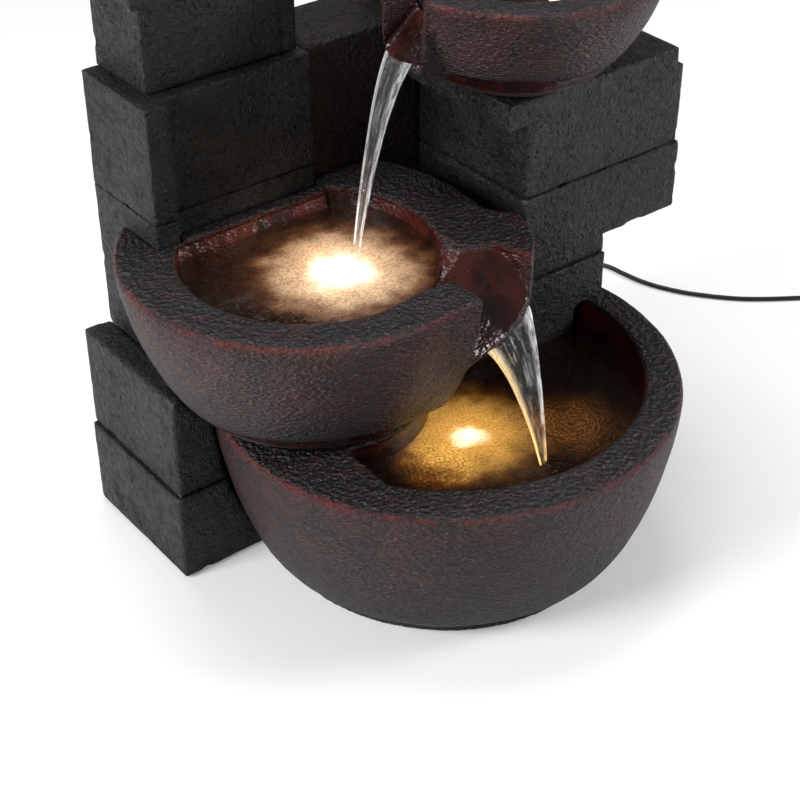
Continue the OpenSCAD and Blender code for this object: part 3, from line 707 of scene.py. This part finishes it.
@dataclass
class WaterCourse:
    """All of the water: three pools and two streams."""

    def build(self) -> None:
        """Makes the pools from the lowest up, then the streams."""
        Pool("lower_pool_water", (-1.0 * MM, -4.0 * MM), 118.2 * MM, 100.0 * MM,
             (Ripple(-55 * MM, -58 * MM, 0.5 * MM, 4.2 * MM, 16 * MM), Ripple(33 * MM, -78 * MM, 0.35 * MM, 4.6 * MM, 20 * MM),
              Ripple(-2 * MM, -98 * MM, 0.5 * MM, 7.0 * MM, 14 * MM)),
             PoolWater("lower_pool_light", (-22 * MM, -48 * MM, 100 * MM), 64 * MM, 6 * MM, (1.0, 0.93, 0.7),
                       (1.0, 0.5, 0.1), (0.55, 0.19, 0.03), 0.85,
                       ((-54 * MM, -60 * MM, 32 * MM, 0.55), (34 * MM, -78 * MM, 42 * MM, 0.35)))).build()
        Pool("middle_pool_water", (-81 * MM, 27 * MM), 76.2 * MM, 205.0 * MM,
             (Ripple(-46 * MM, 27 * MM, 0.6 * MM, 6.5 * MM, 18 * MM), Ripple(-95 * MM, -12 * MM, 0.3 * MM, 5.0 * MM, 20 * MM)),
             PoolWater("middle_pool_light", (-71 * MM, 9 * MM, 205 * MM), 68 * MM, 11 * MM, (1.0, 0.96, 0.86),
                       (1.0, 0.64, 0.36), (0.6, 0.2, 0.06), 1.15), back_y=77.5 * MM).build()
        Pool("upper_pool_water", (72 * MM, 28 * MM), 65.0 * MM, 339.0 * MM,
             (Ripple(80 * MM, 33 * MM, 0.9 * MM, 9.0 * MM, 20 * MM),),
             PoolWater("upper_pool_light", (98 * MM, 20 * MM, 339 * MM), 50 * MM, 6 * MM, (1.0, 0.95, 0.8),
                       (1.0, 0.62, 0.25), (0.5, 0.18, 0.05), 0.9), back_y=80 * MM).build()
        Fall("lower_stream", (-27 * MM, -69 * MM, 172.5 * MM), (11 * MM, -60.5 * MM, 185 * MM), (-4 * MM, -95 * MM, 99.5 * MM),
             6 * MM, 4 * MM, FallingWater("lower_stream_light", (1.0, 0.66, 0.2), (0.9, 0.9, 0.92), 0.8)).build()
        Fall("upper_stream", (-14 * MM, 40 * MM, 313 * MM), (-14 * MM, 17 * MM, 313 * MM), (-46 * MM, 27 * MM, 204.5 * MM),
             6 * MM, 3 * MM, FallingWater("upper_stream_light", (0.8, 0.78, 0.75), (0.75, 0.76, 0.78), 0.45)).build()


# ---------------------------------------------------------------- the cord


@dataclass
class PowerCord:
    """The low-voltage cord: out of the strain relief, along the floor, into a tied coil, to the adapter."""

    diameter: float = 3.5
    route: Sequence[Point] = (
        (105, 170, 12), (105, 180, 11), (108, 192, 7), (114, 204, 3.5), (124, 214, 1.8), (140, 222, 1.8),
        (165, 227, 1.8), (200, 226, 1.8), (235, 216, 1.8), (265, 199, 1.8), (286, 178, 1.8), (297, 156, 1.8),
        (299, 142, 1.8), (302, 124, 1.8), (308, 107, 1.8), (320, 86, 1.8), (345, 57, 1.8), (380, 31, 1.8),
        (404, 17, 1.8), (424, 11.6, 2.5))
    tail: Sequence[Point] = ((448.4, -24, 10.2), (447, -36, 10.8), (446, -44, 11))
    coil_at: Point = (424, -13, 6.1)
    coil_r: float = 21.0
    stack: Sequence[tuple[float, float]] = (
        (3.6, -3.6), (0, -3.6), (-3.6, -3.6), (-3.6, 0), (0, 0), (3.6, 0), (3.6, 3.6), (3.6, 3.6))
    per_turn: int = 16

    def _coil(self) -> list[Point]:
        """Points along the coil's turns, from its bottom outer turn to its top outer one."""
        made = []
        total = int(self.per_turn * 7.25)
        for step in range(1, total + 1):
            turn = step / self.per_turn
            here = min(int(turn), len(self.stack) - 2)
            share = min(max((turn - here - 0.7) / 0.3, 0.0), 1.0)
            share = share * share * (3.0 - 2.0 * share)
            out = self.stack[here][0] * (1 - share) + self.stack[here + 1][0] * share
            up = self.stack[here][1] * (1 - share) + self.stack[here + 1][1] * share
            angle = math.radians(90.0 - 360.0 * turn)
            reach = self.coil_r + out
            made.append((self.coil_at[0] + reach * math.cos(angle), self.coil_at[1] + reach * math.sin(angle),
                         self.coil_at[2] + up))
        return made

    def build(self, material: bpy.types.Material, frame: dict) -> bpy.types.Object:
        """Args:
            material: the jacket's finish.

        Returns:
            The cord.
        """
        points = [Vector(p) * MM for p in [*self.route, *self._coil(), *self.tail]]
        curve = bpy.data.curves.new("power_cord_line", "CURVE")
        curve.dimensions = "3D"
        curve.bevel_depth = self.diameter / 2 * MM
        curve.bevel_resolution = 4
        curve.resolution_u = 6
        line = curve.splines.new("BEZIER")
        line.bezier_points.add(len(points) - 1)
        for i, point in enumerate(points):
            knot = line.bezier_points[i]
            before, after = points[max(i - 1, 0)], points[min(i + 1, len(points) - 1)]
            along = (after - before).normalized()
            knot.co = point
            knot.handle_left = point - along * (point - before).length / 3
            knot.handle_right = point + along * (after - point).length / 3
        piece = bpy.data.objects.new("cord_run", curve)
        bpy.context.scene.collection.objects.link(piece)
        curve.materials.append(material)
        curve.use_fill_caps = True
        settle(piece, Body.FOUNTAIN, "power_cord", "cord_coil")
        return piece

    @staticmethod
    def _length(piece: bpy.types.Object) -> float:
        """The curve's own length in metres."""
        return sum(s.calc_length() for s in piece.data.splines)


# ---------------------------------------------------------------- the studio


@dataclass
class Studio:
    """Camera, floor and soft light."""

    camera_at: Point = (-0.5564, -0.6666, 0.7100)
    camera_to: Point = (0.0546, 0.1155, 0.0)
    lens: float = 76.9

    def camera(self) -> None:
        """Makes the camera."""
        data = bpy.data.cameras.new("view")
        data.lens = self.lens
        data.sensor_width = 36.0
        data.clip_end = 50.0
        made = bpy.data.objects.new("view", data)
        bpy.context.scene.collection.objects.link(made)
        made.location = self.camera_at
        aim = Vector(self.camera_to) - Vector(self.camera_at)
        made.rotation_euler = aim.to_track_quat("-Z", "Y").to_euler()
        bpy.context.scene.camera = made

    def floor(self) -> None:
        """Makes the pale floor."""
        work = bmesh.new()
        bmesh.ops.create_grid(work, x_segments=1, y_segments=1, size=14.0)
        mesh = bpy.data.meshes.new("floor")
        work.to_mesh(mesh)
        work.free()
        made = new_piece("floor", mesh)
        b = Bench("pale_floor")
        seen = b.node("LightPath").outputs["Is Camera Ray"]
        plain = b.node("BsdfDiffuse", {"Color": (0.82, 0.82, 0.83)})
        away = b.node("VectorMath", {0: b.place}, operation="LENGTH").outputs["Value"]
        lift = b.node("Emission", {"Color": (0.95, 0.97, 1.0),
                                   "Strength": b.sum("MULTIPLY", seen, b.steps(away, 0.5, 3.0, 0.22, 1.0))})
        both = b.node("AddShader", {0: plain.outputs[0], 1: lift.outputs[0]})
        b.tree.links.new(both.outputs[0], b.output.inputs[0])
        mesh.materials.append(b.material)

    def sky(self) -> None:
        """A white surround that lights the object softly."""
        world = bpy.data.worlds.new("surround")
        bpy.context.scene.world = world
        world.use_nodes = True
        tree = world.node_tree
        tree.nodes.clear()
        path = tree.nodes.new("ShaderNodeLightPath")
        seen = tree.nodes.new("ShaderNodeMath")
        seen.operation = "MAXIMUM"
        tree.links.new(path.outputs["Is Camera Ray"], seen.inputs[0])
        tree.links.new(path.outputs["Is Transmission Ray"], seen.inputs[1])
        power = tree.nodes.new("ShaderNodeMapRange")
        power.inputs[3].default_value = 0.24
        power.inputs[4].default_value = 1.0
        tree.links.new(seen.outputs[0], power.inputs[0])
        glow = tree.nodes.new("ShaderNodeBackground")
        tree.links.new(power.outputs[0], glow.inputs["Strength"])
        out = tree.nodes.new("ShaderNodeOutputWorld")
        tree.links.new(glow.outputs[0], out.inputs[0])

    @staticmethod
    def _soft(name: str, at: Point, to: Point, size: float, power: float) -> None:
        """Adds one soft box."""
        data = bpy.data.lights.new(name, "AREA")
        data.size = size
        data.energy = power
        made = bpy.data.objects.new(name, data)
        bpy.context.scene.collection.objects.link(made)
        made.location = at
        made.rotation_euler = (Vector(to) - Vector(at)).to_track_quat("-Z", "Y").to_euler()

    @staticmethod
    def _lamp(name: str, at: Point, power: float, colour: Colour, radius: float) -> None:
        """Adds the light that one underwater lamp throws on what is round it."""
        data = bpy.data.lights.new(name, "POINT")
        data.energy = power
        data.color = colour
        data.shadow_soft_size = radius
        made = bpy.data.objects.new(name, data)
        bpy.context.scene.collection.objects.link(made)
        made.location = at
        made.visible_glossy = False

    def lights(self) -> None:
        """Adds the soft boxes and the lamps' own light."""
        self._soft("box_left", (-1.35, 0.1, 0.8), (0, 0, 0.15), 0.6, 22.0)
        self._soft("box_right", (1.2, -0.8, 0.7), (0, 0, 0.15), 0.5, 14.0)
        self._soft("box_top", (0.1, 0.35, 1.6), (0, 0, 0.1), 0.8, 13.0)
        warm = (1.0, 0.62, 0.26)
        self._lamp("lower_lamp_light", (-20 * MM, -48 * MM, 107 * MM), 0.06, warm, 5 * MM)
        self._lamp("middle_lamp_light", (-74 * MM, 30 * MM, 213 * MM), 0.09, (1.0, 0.68, 0.36), 6 * MM)
        self._lamp("upper_lamp_light", (96 * MM, 22 * MM, 346 * MM), 0.05, warm, 6 * MM)


# ---------------------------------------------------------------- the whole


def main() -> None:
    """Builds the fountain's looks, piece by piece, and reports each one."""
    logging.basicConfig(level=logging.INFO, format="%(message)s")
    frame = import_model()
    studio = Studio()
    studio.camera()
    machinery = Machinery()
    finishes = machinery.dress_nodes(frame)
    PowerCord().build(finishes["cord_black"], frame)
    Bowl("basin", (-4 * MM, -5 * MM), 145 * MM, 0.0, 117 * MM, (-1 * MM, -4 * MM), 119.4 * MM, 100 * MM).build(frame)
    Bowl("mid_bowl", (-76 * MM, 35 * MM), 111 * MM, 117 * MM, 215 * MM, (-81 * MM, 27 * MM), 75 * MM, 205 * MM,
         channel=(-36 * MM, 14 * MM, -76 * MM, -15 * MM)).build(frame)
    Bowl("upper_bowl", (72 * MM, 28 * MM), 85 * MM, 282 * MM, 352 * MM, (72 * MM, 28 * MM), 64 * MM, 339 * MM,
         channel=(-15 * MM, 25 * MM, 12 * MM, 44 * MM)).build(frame)
    Towers().build(frame)
    WaterCourse().build()
    studio.floor()
    studio.sky()
    studio.lights()
    bpy.context.scene.view_settings.view_transform = "Standard"


if __name__ == "__main__":
    main()
